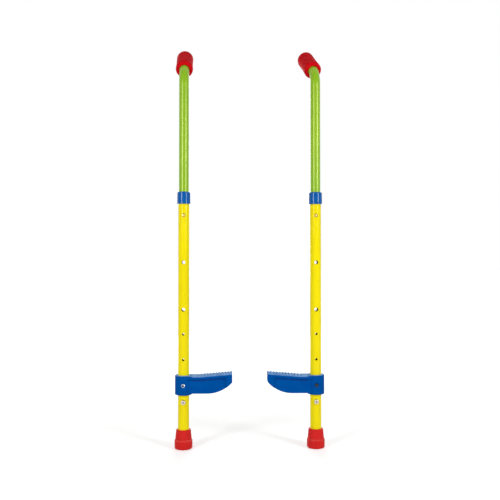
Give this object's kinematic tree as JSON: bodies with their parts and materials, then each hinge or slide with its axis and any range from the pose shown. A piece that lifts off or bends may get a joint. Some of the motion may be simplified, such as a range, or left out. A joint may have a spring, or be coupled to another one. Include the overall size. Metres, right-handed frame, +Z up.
{
  "type": "pair of telescoping stilts",
  "caption": "Pair of children's tube stilts with a telescoping upper tube, bent handle and grip, snap button height setting, bolted toothed footrest and rubber foot.",
  "frame": {"origin": "on the ground, at the middle of the pair's box", "axes": "+Z up along the tubes, X from the left stilt to the right one, +Y the way the handles point"},
  "size_m": [0.3872, 0.1399, 1.0461],
  "materials": {
    "yellow_paint": "gloss enamel on steel tube",
    "green_paint": "gloss enamel on steel tube",
    "blue_plastic": "moulded polypropylene, satin",
    "grip_rubber": "soft moulded grip, matte",
    "foot_rubber": "moulded rubber, satin",
    "plated_steel": "zinc plated",
    "spring_steel": "bare spring steel",
    "grey_plastic": "moulded guide bush"
  },
  "bodies": {
    "left_pole": {"left_lower_tube": "yellow_paint", "left_collar": "blue_plastic", "left_foot": "foot_rubber", "left_foot_washer": "plated_steel", "left_footrest": "blue_plastic", "left_footrest_bolt": "plated_steel", "left_footrest_nut": "plated_steel", "left_stop_bolt": "plated_steel", "left_stop_nut": "plated_steel"},
    "left_handle": {"left_upper_tube": "green_paint", "left_grip": "grip_rubber", "left_glide_bush": "grey_plastic", "left_snap_spring": "spring_steel"},
    "left_button": {"left_snap_button": "plated_steel"},
    "right_pole": {"right_lower_tube": "yellow_paint", "right_collar": "blue_plastic", "right_foot": "foot_rubber", "right_foot_washer": "plated_steel", "right_footrest": "blue_plastic", "right_footrest_bolt": "plated_steel", "right_footrest_nut": "plated_steel", "right_stop_bolt": "plated_steel", "right_stop_nut": "plated_steel"},
    "right_handle": {"right_upper_tube": "green_paint", "right_grip": "grip_rubber", "right_glide_bush": "grey_plastic", "right_snap_spring": "spring_steel"},
    "right_button": {"right_snap_button": "plated_steel"}
  },
  "joints": [
    {"name": "left_height", "type": "slide", "parent": "left_pole", "child": "left_handle", "axis": [0, 0, 1], "range_m": [-0.24, 0]},
    {"name": "left_snap", "type": "slide", "parent": "left_handle", "child": "left_button", "axis": [0, -1, 0], "range_m": [-0.0015, 0.003], "stiffness_N_per_m": 800, "springref_m": 0.003, "deforming": ["left_snap_spring"]},
    {"name": "right_stilt_lift", "type": "slide", "parent": "left_pole", "child": "right_pole", "axis": [0, 0, 1], "range_m": [0, 0.25]},
    {"name": "right_height", "type": "slide", "parent": "right_pole", "child": "right_handle", "axis": [0, 0, 1], "range_m": [-0.24, 0]},
    {"name": "right_snap", "type": "slide", "parent": "right_handle", "child": "right_button", "axis": [0, -1, 0], "range_m": [-0.0015, 0.003], "stiffness_N_per_m": 800, "springref_m": 0.003, "deforming": ["right_snap_spring"]}
  ]
}
